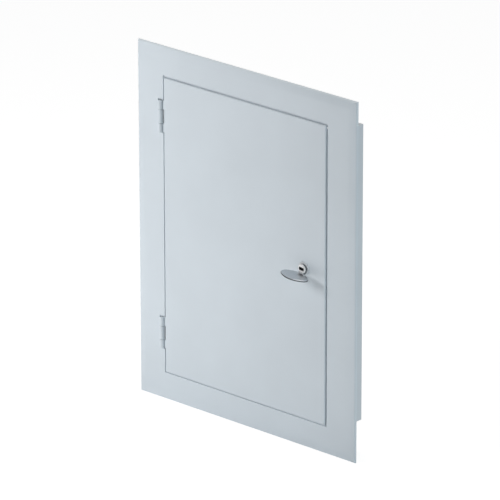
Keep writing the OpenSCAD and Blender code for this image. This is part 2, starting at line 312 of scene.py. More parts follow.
def coat_of(finish: Finish) -> bpy.types.Material:
    """Gives the material of a finish, made once.

    Args:
        finish: The finish.

    Returns:
        Its material.
    """
    if finish not in _made:
        _made[finish] = finish.material()
    return _made[finish]


def add_modifier(piece: bpy.types.Object, kind: str, **values: object) -> None:
    """Adds a live modifier to a piece and sets its values.

    Args:
        piece: Object that gets the modifier.
        kind: Blender's name of its type.
        values: Settings of the modifier.
    """
    modifier = piece.modifiers.new(kind.lower(), kind)
    for name, value in values.items():
        setattr(modifier, name, value)


def put_in_scene(name: str, data: bpy.types.ID) -> bpy.types.Object:
    """Makes an object and links it into the scene.

    Args:
        name: Name of the object.
        data: Its mesh, lamp or camera.

    Returns:
        The object.
    """
    item = bpy.data.objects.new(name, data)
    bpy.context.scene.collection.objects.link(item)
    return item


def mesh_of(name: str, shape: bmesh.types.BMesh) -> bpy.types.Mesh:
    """Turns a shape into a mesh and frees it.

    Args:
        name: Name of the mesh.
        shape: Shape to turn into it.

    Returns:
        The mesh.
    """
    mesh = bpy.data.meshes.new(name)
    shape.to_mesh(mesh)
    shape.free()
    return mesh


def set_piece(name: str, shape: bmesh.types.BMesh, body: Body, finish: Finish, nodes: Iterable[str] = (),
              sheet: float = 0.0, edge_round: float = 0.0) -> bpy.types.Object:
    """Makes a mesh the finished piece that stands for its CAD nodes.

    Args:
        name: Name of the piece.
        shape: Mesh of the piece, which is freed.
        body: Body that the piece rides on.
        finish: Finish of its surface.
        nodes: CAD nodes that it replaces.
        sheet: Thickness that a sheet gets behind its faces, or 0 for a solid.
        edge_round: Radius on its sharp edges, or 0 for none.

    Returns:
        The piece's object.
    """
    mesh = mesh_of(name, shape)
    for face in mesh.polygons:
        face.use_smooth = True
    piece = put_in_scene(name, mesh)
    mesh.materials.append(coat_of(finish))
    if sheet:
        add_modifier(piece, "SOLIDIFY", thickness=sheet, offset=-1, use_even_offset=True)
    if edge_round:
        add_modifier(piece, "BEVEL", width=edge_round, segments=EDGE_STEPS, limit_method="ANGLE",
                     angle_limit=SHARP, profile=0.5, use_clamp_overlap=True)
    add_modifier(piece, "WEIGHTED_NORMAL", weight=AREA_WEIGHT, keep_sharp=True)
    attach(piece, body.value)
    if nodes:
        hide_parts(*nodes)
    LOG.info("%s: %d faces on body %s", name, len(mesh.polygons), body.value)
    return piece


def node_copy(node: str) -> bmesh.types.BMesh:
    """Copies a CAD node's mesh and joins its loose triangles into clean faces.

    Args:
        node: Name of the CAD node.

    Returns:
        The merged mesh.
    """
    shape = bmesh.new()
    shape.from_mesh(frame["nodes"][node].data)
    bmesh.ops.remove_doubles(shape, verts=shape.verts, dist=MERGE)
    bmesh.ops.dissolve_limit(shape, angle_limit=FLAT, verts=shape.verts, edges=shape.edges)
    return shape


def rectangle(high: Vector, depth: float) -> list[Vector]:
    """Gives the corners of an upright rectangle at a depth, in order."""
    return [Vector((x * high.x, depth, z * high.z)) for x, z in ((-1, -1), (1, -1), (1, 1), (-1, 1))]


def open_chain(shape: bmesh.types.BMesh, points: Iterable[Vector],
               closed: bool = False) -> list[bmesh.types.BMEdge]:
    """Draws a chain of edges through a few points.

    Args:
        shape: Mesh that gets the chain.
        points: Points in order.
        closed: Whether the last point joins the first.

    Returns:
        The chain's edges.
    """
    verts = [shape.verts.new(p) for p in points]
    ends = list(zip(verts, verts[1:]))
    if closed:
        ends.append((verts[-1], verts[0]))
    return [shape.edges.new(pair) for pair in ends]


def pull(shape: bmesh.types.BMesh, edges: list[bmesh.types.BMEdge],
         place: Callable[[Vector], Vector]) -> list[bmesh.types.BMEdge]:
    """Extrudes edges and puts each new point where a rule says.

    Args:
        shape: Mesh that holds the edges.
        edges: Edges to extrude.
        place: Rule from an old point to its new place.

    Returns:
        The new edges.
    """
    out = bmesh.ops.extrude_edge_only(shape, edges=edges)["geom"]
    for vert in (g for g in out if isinstance(g, bmesh.types.BMVert)):
        vert.co = place(vert.co.copy())
    return [g for g in out if isinstance(g, bmesh.types.BMEdge)]


def round_edges(shape: bmesh.types.BMesh, edges: list[bmesh.types.BMEdge], radius: float,
                segments: int) -> None:
    """Rounds edges with an even arc."""
    bmesh.ops.bevel(shape, geom=edges, offset=radius, offset_type="OFFSET", segments=segments, profile=0.5,
                    affect="EDGES", clamp_overlap=True, material=-1)


def slice_at(shape: bmesh.types.BMesh, axis: Axis, value: float,
             faces: list[bmesh.types.BMFace] | None = None) -> None:
    """Cuts faces along a plane across an axis, and keeps both sides.

    Args:
        shape: Mesh to cut.
        axis: Axis that the plane is square to.
        value: Place of the plane on the axis.
        faces: Faces to cut, or None for all.
    """
    chosen = list(shape.faces) if faces is None else faces
    geom = set(chosen) | {e for f in chosen for e in f.edges} | {v for f in chosen for v in f.verts}
    bmesh.ops.bisect_plane(shape, geom=list(geom), dist=SNAP, plane_co=axis.value * value,
                           plane_no=axis.value)


def faces_on(shape: bmesh.types.BMesh, axis: Axis, value: float) -> list[bmesh.types.BMFace]:
    """Gives the faces that lie on a plane across an axis."""
    return [f for f in shape.faces if all(abs(v.co.dot(axis.value) - value) < TOUCH for v in f.verts)]


def drop_faces(shape: bmesh.types.BMesh, within: Callable[[Vector], bool]) -> None:
    """Deletes the faces whose middle a rule picks."""
    doomed = [f for f in shape.faces if within(f.calc_center_median())]
    bmesh.ops.delete(shape, geom=doomed, context="FACES")


def round_hole(shape: bmesh.types.BMesh, centre: Vector, normal: Axis, diameter: float,
               window: float) -> None:
    """Cuts a round hole into a flat place of a sheet.

    Args:
        shape: Sheet that gets the hole.
        centre: Middle of the hole, on the sheet.
        normal: Axis that the hole runs along.
        diameter: Diameter of the hole.
        window: Side of the square round the hole that is remade.
    """
    half = window / 2
    across = [axis for axis in Axis if axis is not normal]
    depth = centre.dot(normal.value)

    def near(point: Vector, reach: float) -> bool:
        """Tells whether a point lies on the sheet within a reach of the hole."""
        on_sheet = abs(point.dot(normal.value) - depth) <= TOUCH
        return on_sheet and all(abs((point - centre).dot(a.value)) < reach for a in across)

    def border() -> list[bmesh.types.BMEdge]:
        """Gives the open edges round the window."""
        return [e for e in shape.edges
                if e.is_boundary and all(near(v.co, half + TOUCH) for v in e.verts)]

    for axis in across:
        for side in (-1, 1):
            slice_at(shape, axis, centre.dot(axis.value) + side * half, faces_on(shape, normal, depth))
    drop_faces(shape, lambda middle: near(middle, half))
    bmesh.ops.subdivide_edges(shape, edges=border(), cuts=HOLE_STEPS - 1)
    pull(shape, border(), lambda p: centre + (p - centre).normalized() * diameter / 2)


def face_towards(shape: bmesh.types.BMesh, outward: Vector) -> None:
    """Turns a sheet's faces all the same way, with most of them towards a direction.

    Args:
        shape: The sheet.
        outward: Direction that its outer side faces.
    """
    bmesh.ops.recalc_face_normals(shape, faces=shape.faces)
    lean = sum((f.normal.dot(outward) * f.calc_area() for f in shape.faces), 0.0)
    if lean < 0:
        bmesh.ops.reverse_faces(shape, faces=shape.faces)


def turned(shape: bmesh.types.BMesh, outline: list[tuple[float, float]], foot: Vector, axis: Axis,
           steps: int = 48) -> None:
    """Turns an outline round an axis into a closed solid.

    Args:
        shape: Mesh that gets the solid.
        outline: Radius and height of each corner, in order; one that starts on the axis also ends there.
        foot: Point on the axis that heights count from.
        axis: Axis to turn round.
        steps: Number of steps in the full turn.
    """
    side = Axis.X.value if axis is Axis.Z else Axis.Z.value
    points = [foot + side * radius + axis.value * height for radius, height in outline]
    edges = open_chain(shape, points, closed=outline[0][0] > 0)
    verts = {v for e in edges for v in e.verts}
    bmesh.ops.spin(shape, geom=[*verts, *edges], cent=foot, axis=axis.value, angle=2 * math.pi, steps=steps,
                   use_merge=True)
    bmesh.ops.remove_doubles(shape, verts=shape.verts, dist=MERGE)
    bmesh.ops.recalc_face_normals(shape, faces=shape.faces)


def round_corners(shape: bmesh.types.BMesh, radius: float, chosen: Callable[[Vector], bool]) -> None:
    """Rounds the corners of a flat sheet that a rule picks."""
    corners = [v for v in shape.verts if chosen(v.co)]
    bmesh.ops.bevel(shape, geom=corners, offset=radius, offset_type="OFFSET", segments=CORNER_STEPS,
                    profile=0.5, affect="VERTICES", clamp_overlap=True, material=-1)


@dataclass
class FaceFlange:
    """Pressed face sheet round the opening, with a sloping border and a lip that rests on the wall."""

    sheet: float = 1.2 * MM
    border: float = 8 * MM
    slope: float = 1.5 * MM
    nose_round: float = 1.7 * MM
    crease_round: float = 1.3 * MM
    bend_steps: int = 4
    door_gap: float = 1.5 * MM
    hinge_clearance: float = 0.6 * MM
    edge_round: float = 0.2 * MM

    def build(self) -> bpy.types.Object:
        """Models the sheet from its rim inwards and cuts the hinge notches.

        Returns:
            The flange's object.
        """
        low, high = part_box("frame_flange")
        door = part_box("door_panel")[1]
        wide, tall = door.x + self.door_gap, door.z + self.door_gap

        def to_opening(point: Vector) -> Vector:
            """Gives the opening's corner for a corner of the crease."""
            return Vector((math.copysign(wide, point.x), low.y, math.copysign(tall, point.z)))

        shape = bmesh.new()
        rim = open_chain(shape, rectangle(high, high.y), closed=True)
        nose = pull(shape, rim, lambda p: Vector((p.x, low.y + self.slope, p.z)))
        crease = pull(shape, nose, lambda p: self.inset(p, low.y))
        pull(shape, crease, to_opening)
        round_edges(shape, nose, self.nose_round, self.bend_steps)
        round_edges(shape, [e for e in crease if e.is_valid], self.crease_round, self.bend_steps)
        self.notch(shape, "hinge_upper", low.y)
        self.notch(shape, "hinge_lower", low.y)
        face_towards(shape, Vector((0, -1, 0)))
        return set_piece("face_flange", shape, Body.FRAME, FLANGE_COAT, ["frame_flange"], self.sheet,
                         self.edge_round)

    def inset(self, point: Vector, depth: float) -> Vector:
        """Gives the crease's corner for a corner of the nose."""
        return Vector((point.x - math.copysign(self.border, point.x), depth,
                       point.z - math.copysign(self.border, point.z)))

    def notch(self, shape: bmesh.types.BMesh, hinge: str, depth: float) -> None:
        """Cuts the opening's edge back round a hinge's knuckles.

        Args:
            shape: The flange's sheet.
            hinge: Name of the hinge.
            depth: Place of the flat face along Y.
        """
        low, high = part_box(f"{hinge}_door_leaf")
        left = low.x - self.hinge_clearance
        below = low.z - self.hinge_clearance
        above = high.z + self.hinge_clearance
        for axis, value in ((Axis.X, left), (Axis.Z, below), (Axis.Z, above)):
            flat = [f for f in faces_on(shape, Axis.Y, depth) if all(v.co.x < 0 for v in f.verts)]
            slice_at(shape, axis, value, flat)
        drop_faces(shape, lambda m: left < m.x < 0 and below < m.z < above)


@dataclass
class DoorPan:
    """Pan door folded from one sheet, with deeper folds along its sides."""

    sheet: float = 1 * MM
    bend: float = 1.2 * MM
    bend_steps: int = 6
    end_fold: float = 2.2 * MM
    side_fold_stop: float = 4.2 * MM
    notch_gap: float = 0.6 * MM
    latch_hole: float = 10.4 * MM
    hole_window: float = 16 * MM
    edge_round: float = 0.2 * MM

    def build(self) -> bpy.types.Object:
        """Models the face, folds its edges, and cuts the hinge notches and the latch hole.

        Returns:
            The door's object.
        """
        low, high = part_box("door_panel")
        rim = low.y + self.end_fold
        shape = bmesh.new()
        edges = open_chain(shape, rectangle(high, low.y), closed=True)
        shape.faces.new([e.verts[0] for e in edges])
        pull(shape, edges, lambda p: Vector((p.x, rim, p.z)))
        round_edges(shape, edges, self.bend, self.bend_steps)
        self.fold_sides(shape, high, rim, low.y + self.sheet)
        bush_low, bush_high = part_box("latch_bush")
        middle = (bush_low + bush_high) / 2
        round_hole(shape, Vector((middle.x, low.y, middle.z)), Axis.Y, self.latch_hole, self.hole_window)
        face_towards(shape, Vector((0, -1, 0)))
        return set_piece("door_pan", shape, Body.DOOR, DOOR_COAT, ["door_panel"], self.sheet, self.edge_round)

    def fold_sides(self, shape: bmesh.types.BMesh, high: Vector, rim: float, back: float) -> None:
        """Deepens the side folds and clears them where the hinge leaves come through.

        Args:
            shape: The door's sheet.
            high: Highest corner of the door's box.
            rim: Depth of the end folds' rim.
            back: Depth of the face's back.
        """
        stop = high.z - self.side_fold_stop
        for level in (-stop, stop):
            slice_at(shape, Axis.Z, level)
        notches = []
        for hinge in ("hinge_upper", "hinge_lower"):
            leaf_low, leaf_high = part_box(f"{hinge}_door_leaf")
            notches.append((leaf_low.z - self.notch_gap, leaf_high.z + self.notch_gap))
        for level in (level for pair in notches for level in pair):
            slice_at(shape, Axis.Z, level)
        hinge_side = -high.x + self.bend
        slice_at(shape, Axis.Y, back, [f for f in shape.faces if f.calc_center_median().x < hinge_side])

        def in_notch(point: Vector) -> bool:
            """Tells whether a point of the left fold lies in a hinge notch."""
            return point.x < 0 and any(below < point.z < above for below, above in notches)

        drop_faces(shape, lambda m: m.x < hinge_side and m.y > back and in_notch(m))
        sides = [e for e in shape.edges if e.is_boundary
                 and all(abs(abs(v.co.x) - high.x) < TOUCH and abs(v.co.y - rim) < TOUCH for v in e.verts)
                 and abs((e.verts[0].co.z + e.verts[1].co.z) / 2) < stop]
        pull(shape, sides, lambda p: Vector((p.x, high.y, p.z)))


@dataclass
class Collar:
    """Four bent strips behind the flange that go into the opening."""

    sheet: float = 1.2 * MM
    bend: float = 2.2 * MM
    bend_steps: int = 6
    hole: float = 5 * MM
    hole_window: float = 9 * MM
    edge_round: float = 0.2 * MM

    def build(self) -> None:
        """Makes the two side strips and the two end strips."""
        for hand in Hand:
            self.side(hand)
        for end in End:
            self.end(end)

    def side(self, hand: Hand) -> bpy.types.Object:
        """Bends a side strip and drills its screw holes.

        Args:
            hand: Side of the panel.

        Returns:
            The strip's object.
        """
        name = f"collar_{hand.name.lower()}"
        low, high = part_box(name)
        sign = hand.value
        foot = high.x if sign > 0 else low.x
        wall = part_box("collar_top")[1].x * sign
        shape = bmesh.new()
        edges = open_chain(shape, [Vector((foot, low.y, low.z)), Vector((foot, low.y, high.z))])
        fold = pull(shape, edges, lambda p: Vector((wall, low.y, p.z)))
        pull(shape, fold, lambda p: Vector((wall, high.y, p.z)))
        round_edges(shape, [e for e in fold if e.is_valid], self.bend, self.bend_steps)
        pattern = next(m for m in frame["record"]["mounts"] if m["name"] == f"{hand.name.lower()}_screws")
        reach = pattern["dims"]["spacing_y_mm"] * MM / 2
        for level in (-reach, reach):
            place = Vector((wall, pattern["pos_m"][1], level))
            round_hole(shape, place, Axis.X, self.hole, self.hole_window)
        face_towards(shape, Vector((-sign, -1, 0)))
        return set_piece(f"{name}_strip", shape, Body.FRAME, COLLAR_COAT, [name], self.sheet, self.edge_round)

    def end(self, end: End) -> bpy.types.Object:
        """Bends an end strip, which leaves the ledge that the door closes on.

        Args:
            end: End of the panel.

        Returns:
            The strip's object.
        """
        name = f"collar_{end.name.lower()}"
        low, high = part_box(name)
        sign = end.value
        foot = high.z if sign > 0 else low.z
        wall = sign * (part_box("collar_right")[1].z - self.sheet)
        shape = bmesh.new()
        edges = open_chain(shape, [Vector((low.x, low.y, foot)), Vector((high.x, low.y, foot))])
        fold = pull(shape, edges, lambda p: Vector((p.x, low.y, wall)))
        pull(shape, fold, lambda p: Vector((p.x, high.y, wall)))
        round_edges(shape, [e for e in fold if e.is_valid], self.bend, self.bend_steps)
        face_towards(shape, Vector((0, -1, -sign)))
        return set_piece(f"{name}_strip", shape, Body.FRAME, COLLAR_COAT, [name], self.sheet, self.edge_round)


@dataclass
class Hinges:
    """Two short knuckle hinges, with leaves rolled from sheet round their pins."""

    sheet: float = 1.2 * MM
    door_sheet: float = 1 * MM
    middle_knuckle: float = 13.5 * MM
    knuckle_gap: float = 0.3 * MM
    notch_gap: float = 0.6 * MM
    roll: float = math.radians(300)
    seam: float = math.radians(3)
    roll_steps: int = 28
    corner_round: float = 2 * MM
    edge_round: float = 0.18 * MM
    dome: tuple[tuple[float, float], ...] = ((0, 0), (0.5, 0.03 * MM), (0.8, 0.12 * MM), (0.95, 0.28 * MM),
                                             (1, 0.5 * MM))

    def build(self) -> None:
        """Makes the leaves and pins of both hinges."""
        for place in ("upper", "lower"):
            self.frame_leaf(place)
            self.door_leaf(place)
            self.pin(place)

    def middle(self, place: str) -> Vector:
        """Gives the middle of a hinge's pin."""
        low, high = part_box(f"hinge_{place}_pin")
        return (low + high) / 2

    def curl(self, shape: bmesh.types.BMesh, edges: list[bmesh.types.BMEdge], pin: Vector,
             angle: float) -> None:
        """Rolls a sheet's edge round the pin.

        Args:
            shape: The leaf's sheet.
            edges: Edges that the roll starts from.
            pin: Middle of the pin.
            angle: Angle of the roll.
        """
        verts = {v for e in edges for v in e.verts}
        bmesh.ops.spin(shape, geom=[*verts, *edges], cent=pin, axis=Axis.Z.value, angle=angle,
                       steps=self.roll_steps)

    def frame_leaf(self, place: str) -> bpy.types.Object:
        """Makes the leaf behind the flange, with the middle knuckle.

        Args:
            place: Name of the hinge's place.

        Returns:
            The leaf's object.
        """
        name = f"hinge_{place}_frame_leaf"
        low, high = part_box(name)
        pin = self.middle(place)
        half = self.middle_knuckle / 2
        neck = 2 * pin.x - high.x - self.notch_gap
        shape = bmesh.new()
        levels = (low.z, pin.z - half, pin.z + half, high.z)
        edges = open_chain(shape, [Vector((low.x, high.y, z)) for z in levels])
        wide = pull(shape, edges, lambda p: Vector((neck, high.y, p.z)))
        tongue = [e for e in wide if all(abs(v.co.z - pin.z) < half + TOUCH for v in e.verts)]
        start = pull(shape, tongue, lambda p: Vector((pin.x, high.y, p.z)))
        self.curl(shape, start, pin, -self.roll)
        round_corners(shape, self.corner_round,
                      lambda p: p.x < low.x + TOUCH and abs(p.z - pin.z) > half + TOUCH)
        face_towards(shape, Axis.Y.value)
        return set_piece(f"{name}_rolled", shape, Body.FRAME, HINGE_COAT, [name], self.sheet, self.edge_round)

    def door_leaf(self, place: str) -> bpy.types.Object:
        """Makes the leaf behind the door's face, with the two outer knuckles.

        Args:
            place: Name of the hinge's place.

        Returns:
            The leaf's object.
        """
        name = f"hinge_{place}_door_leaf"
        low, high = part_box(name)
        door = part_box("door_panel")[0]
        pin = self.middle(place)
        radius = high.y - pin.y
        back = door.y + self.door_sheet + self.sheet
        start = math.asin((back - pin.y) / radius)
        half = self.middle_knuckle / 2 + self.knuckle_gap
        shape = bmesh.new()
        levels = (low.z, pin.z - half, pin.z + half, high.z)
        edges = open_chain(shape, [Vector((high.x, back, z)) for z in levels])
        wide = pull(shape, edges, lambda p: Vector((door.x + self.door_sheet, back, p.z)))
        arms = [e for e in wide if any(abs(v.co.z - pin.z) > half + TOUCH for v in e.verts)]
        rolls = pull(shape, arms, lambda p: Vector((pin.x + radius * math.cos(start), back, p.z)))
        self.curl(shape, rolls, pin, 2 * math.pi - start - self.seam)
        round_corners(shape, self.corner_round,
                      lambda p: p.x > high.x - TOUCH and abs(p.z - pin.z) > half + TOUCH)
        face_towards(shape, Axis.Y.value)
        return set_piece(f"{name}_rolled", shape, Body.DOOR, HINGE_COAT, [name], self.sheet, self.edge_round)

    def pin(self, place: str) -> bpy.types.Object:
        """Turns a pin with domed ends.

        Args:
            place: Name of the hinge's place.

        Returns:
            The pin's object.
        """
        name = f"hinge_{place}_pin"
        low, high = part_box(name)
        radius = (high.x - low.x) / 2
        half = (high.z - low.z) / 2
        rise = [(share * radius, depth - half) for share, depth in self.dome]
        shape = bmesh.new()
        turned(shape, rise + [(r, -h) for r, h in reversed(rise)], self.middle(place), Axis.Z)
        return set_piece(f"{name}_domed", shape, Body.FRAME, PIN_STEEL, [name])


@dataclass
class Keeper:
    """Plate behind the flange that the latch's cam bears on."""

    corner_round: float = 2.5 * MM
    edge_round: float = 0.25 * MM

    def build(self) -> bpy.types.Object:
        """Makes the plate with its rounded corners.

        Returns:
            The plate's object.
        """
        low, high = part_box("latch_keeper")
        shape = bmesh.new()
        edges = open_chain(shape, [Vector((low.x, high.y, low.z)), Vector((low.x, high.y, high.z))])
        pull(shape, edges, lambda p: Vector((high.x, high.y, p.z)))
        round_corners(shape, self.corner_round, lambda p: True)
        face_towards(shape, Axis.Y.value)
        return set_piece("latch_keeper_plate", shape, Body.FRAME, HINGE_COAT, ["latch_keeper"],
                         high.y - low.y, self.edge_round)


@dataclass
class WeldMarks:
    """Shallow electrode marks where strips, leaves and keeper are spot-welded to the sheets."""

    mark: float = 4.4 * MM
    narrow_mark: float = 3 * MM
    rim: float = 0.14 * MM
    bed: float = 0.05 * MM
    crown: tuple[tuple[float, float], ...] = ((0, 0.3), (0.55, 0.35), (0.75, 1), (0.9, 0.8))
    turn_steps: int = 24
    row_share: float = 0.8
    pair_share: float = 0.58
    leaf_shift: float = 1.5 * MM
    sheet: float = 1.2 * MM
    bend: float = 2.2 * MM
    door_sheet: float = 1 * MM

    def build(self) -> None:
        """Marks the frame's feet, leaves and keeper, and the door's leaves."""
        self.stamp("frame_weld_marks", Body.FRAME, COLLAR_COAT, [*self.feet(), *self.frame_plates()])
        self.stamp("door_weld_marks", Body.DOOR, HINGE_COAT, self.door_plates())

    def feet(self) -> list[tuple[Vector, float]]:
        """Gives the marks on the collar's feet.

        Returns:
            The places with their diameters.
        """
        side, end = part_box("collar_right"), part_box("collar_top")
        back = side[0].y + self.sheet
        across = (end[1].x + self.bend + side[1].x) / 2
        along = (side[1].z - self.sheet + self.bend + end[1].z) / 2
        rows = (-1, -1 / 3, 1 / 3, 1)
        tall, wide = self.row_share * side[1].z, self.row_share * end[1].x
        spots = [(Vector((x * across, back, z * tall)), self.narrow_mark) for x in (-1, 1) for z in rows]
        return spots + [(Vector((x * wide, back, z * along)), self.mark) for z in (-1, 1) for x in rows]

    def frame_plates(self) -> list[tuple[Vector, float]]:
        """Gives the marks on the frame's hinge leaves and keeper.

        Returns:
            The places with their diameters.
        """
        spots = []
        for place in ("upper", "lower"):
            leaf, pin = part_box(f"hinge_{place}_frame_leaf"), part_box(f"hinge_{place}_pin")
            x = (leaf[0].x + pin[0].x) / 2 - self.leaf_shift
            spots += self.pair(x, leaf[1].y, leaf, self.mark)
        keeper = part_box("latch_keeper")
        return spots + self.pair((keeper[0].x + keeper[1].x) / 2, keeper[1].y, keeper, self.mark)

    def door_plates(self) -> list[tuple[Vector, float]]:
        """Gives the marks on the door's hinge leaves.

        Returns:
            The places with their diameters.
        """
        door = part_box("door_panel")[0]
        back = door.y + self.door_sheet + self.sheet
        spots = []
        for place in ("upper", "lower"):
            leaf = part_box(f"hinge_{place}_door_leaf")
            spots += self.pair((door.x + leaf[1].x) / 2, back, leaf, self.mark)
        return spots

    def pair(self, x: float, y: float, box: tuple[Vector, Vector],
             size: float) -> list[tuple[Vector, float]]:
        """Gives two marks one above the other on a plate.

        Args:
            x: Place across the panel.
            y: Depth of the plate's back.
            box: Lowest and highest corner of the plate.
            size: Diameter of a mark.

        Returns:
            The places with their diameters.
        """
        middle, half = (box[0].z + box[1].z) / 2, (box[1].z - box[0].z) / 2
        return [(Vector((x, y, middle + side * self.pair_share * half)), size) for side in (-1, 1)]

    def stamp(self, name: str, body: Body, finish: Finish,
              spots: list[tuple[Vector, float]]) -> bpy.types.Object:
        """Turns the marks of one body as one piece.

        Args:
            name: Name of the piece.
            body: Body that the marks ride on.
            finish: Finish of the marks.
            spots: Places and diameters of the marks.

        Returns:
            The piece's object.
        """
        shape = bmesh.new()
        for spot, size in spots:
            outline = [(share * size / 2, height * self.rim) for share, height in self.crown]
            outline += [(size / 2, -self.bed), (0, -self.bed)]
            turned(shape, outline, spot, Axis.Y, self.turn_steps)
        return set_piece(name, shape, body, finish)


@dataclass
class WingLatch:
    """Quarter-turn latch: plated bush and wing knob in front, spindle and cam behind."""

    turn_steps: int = 64
    rosette_rim: float = 0.65 * MM
    rim_steps: int = 5
    barrel: float = 10 * MM
    bore: float = 6.1 * MM
    thread: float = 0.75 * MM
    thread_depth: float = 0.3 * MM
    thread_chamfer: float = 0.4 * MM
    boss: float = 9 * MM
    boss_height: float = 2.2 * MM
    boss_round: float = 0.8 * MM
    boss_steps: int = 5
    turn_gap: float = 0.2 * MM
    rear_gap: float = 0.03 * MM
    hub: float = 7.8 * MM
    hub_play: float = 0.1 * MM
    hub_depth: float = 3.5 * MM
    tang: float = 6.04 * MM
    tang_flat: float = 3.04 * MM
    wing_length: float = 31 * MM
    wing_width: float = 17 * MM
    wing_end: float = 4.8 * MM
    wing_sheet: float = 1.6 * MM
    wing_lead: float = 1 * MM
    wing_drop: float = 3.3 * MM
    wing_turn: float = math.radians(5)
    wing_round: float = 1.25 * MM
    wing_steps: int = 6
    arc_steps: int = 20
    short_edge: float = 0.15 * MM
    edge_lean: float = 0.6
    neck: float = 7.2 * MM
    neck_fillet: float = 1.6 * MM
    edge_round: float = 0.2 * MM
    thread_round: float = 0.06 * MM
    spindle_round: float = 0.02 * MM

    def build(self) -> None:
        """Makes the bush, the knob and the working parts behind the door."""
        self.bush()
        self.knob_boss()
        self.knob_wing()
        for node, body, finish, edge_round in (
            ("latch_lock_washer", Body.DOOR, ZINC, self.edge_round),
            ("latch_nut", Body.DOOR, ZINC, self.edge_round),
            ("latch_spindle", Body.LATCH, BLACK_STEEL, self.spindle_round),
            ("spring_washer", Body.LATCH, ZINC, self.edge_round),
            ("latch_cam", Body.LATCH, ZINC, self.edge_round),
            ("cam_washer", Body.LATCH, ZINC, self.edge_round),
            ("cam_nut", Body.LATCH, ZINC, self.edge_round),
        ):
            set_piece(f"{node}_soft", node_copy(node), body, finish, [node], edge_round=edge_round)

    def axis(self) -> Vector:
        """Gives the point of the latch's axis in the wall's plane."""
        low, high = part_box("latch_bush")
        return Vector(((low.x + high.x) / 2, 0, (low.z + high.z) / 2))

    def bush(self) -> bpy.types.Object:
        """Turns the rosette with its rounded rim, the counterbore and the threaded barrel.

        Returns:
            The bush's object.
        """
        low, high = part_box("latch_bush")
        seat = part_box("door_panel")[0].y
        front, rear = low.y, high.y - self.rear_gap
        radius = (high.x - low.x) / 2
        outer, inner, well = self.barrel / 2, self.bore / 2, (self.hub + self.hub_play) / 2
        lip = rear - self.thread_chamfer
        outline = [(inner, rear), (outer - self.thread_chamfer, rear), (outer, lip)]
        for turn in range(int((lip - seat) / self.thread) - 1):
            height = lip - turn * self.thread
            outline += [(outer - self.thread_depth, height - self.thread / 2), (outer, height - self.thread)]
        outline += [(outer, seat), (radius, seat)]
        for step in range(self.rim_steps + 1):
            bend = math.pi / 2 * step / self.rim_steps
            outline.append((radius - self.rosette_rim * (1 - math.cos(bend)),
                            front + self.rosette_rim * (1 - math.sin(bend))))
        floor = front + self.hub_depth + self.turn_gap
        outline += [(well + self.turn_gap, front), (well, front + self.turn_gap)]
        outline += [(well, floor), (inner, floor)]
        shape = bmesh.new()
        turned(shape, outline, self.axis(), Axis.Y, self.turn_steps)
        return set_piece("latch_bush_turned", shape, Body.DOOR, SATIN, ["latch_bush"],
                         edge_round=self.thread_round)

    def levels(self) -> tuple[float, float, float]:
        """Gives the depths of the boss's front, the boss's rear and the hub's rear.

        Returns:
            The three depths.
        """
        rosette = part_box("latch_bush")[0].y
        rear = rosette - self.turn_gap
        return rear - self.boss_height, rear, rosette + self.hub_depth

    def settle(self, shape: bmesh.types.BMesh) -> None:
        """Turns a shape made round the origin to the wing's angle and moves it to the latch's axis."""
        place = Matrix.Translation(self.axis()) @ Matrix.Rotation(self.wing_turn, 4, "Y")
        bmesh.ops.transform(shape, matrix=place, verts=shape.verts)

    def knob_boss(self) -> bpy.types.Object:
        """Makes the boss and its hub with the flatted hole for the tang.

        Returns:
            The boss's object.
        """
        front, rear, end = self.levels()
        flat = self.tang_flat / 2

        def round_at(diameter: float, depth: float) -> Callable[[Vector], Vector]:
            """Gives the rule that puts a point on a circle at a depth."""
            return lambda p: Vector((p.x, 0, p.z)).normalized() * diameter / 2 + Vector((0, depth, 0))

        def flatted(point: Vector) -> Vector:
            """Gives a point's place on the hole's outline."""
            ray = Vector((point.x, 0, point.z)).normalized() * self.tang / 2
            return Vector((ray.x, point.y, max(-flat, min(flat, ray.z))))

        shape = bmesh.new()
        upright = Matrix.Translation((0, front, 0)) @ Matrix.Rotation(math.pi / 2, 4, "X")
        circle = bmesh.ops.create_circle(shape, segments=self.turn_steps, radius=self.boss / 2,
                                         matrix=upright)
        rim = list({e for v in circle["verts"] for e in v.link_edges})
        shoulder = pull(shape, pull(shape, rim, round_at(self.boss, rear)), round_at(self.hub, rear))
        hole = pull(shape, pull(shape, shoulder, round_at(self.hub, end)), flatted)
        pull(shape, hole, lambda p: Vector((p.x, front, p.z)))
        bmesh.ops.bridge_loops(shape, edges=[e for e in shape.edges if e.is_boundary])
        round_edges(shape, rim, self.boss_round, self.boss_steps)
        bmesh.ops.recalc_face_normals(shape, faces=shape.faces)
        # Faces at the boss's front take the painted highlight; the boss wall and hub take the painted shade
        # and dark reflection.
        for face in shape.faces:
            face.material_index = int(face.calc_center_median().y < front + self.boss_round)
        self.settle(shape)
        boss = set_piece("turn_knob_boss", shape, Body.LATCH, PAINTED_DARK_REFLECTION, ["turn_knob"],
                         edge_round=self.edge_round / 2)
        boss.data.materials.append(coat_of(PAINTED_HIGHLIGHT_FACE))
        return boss

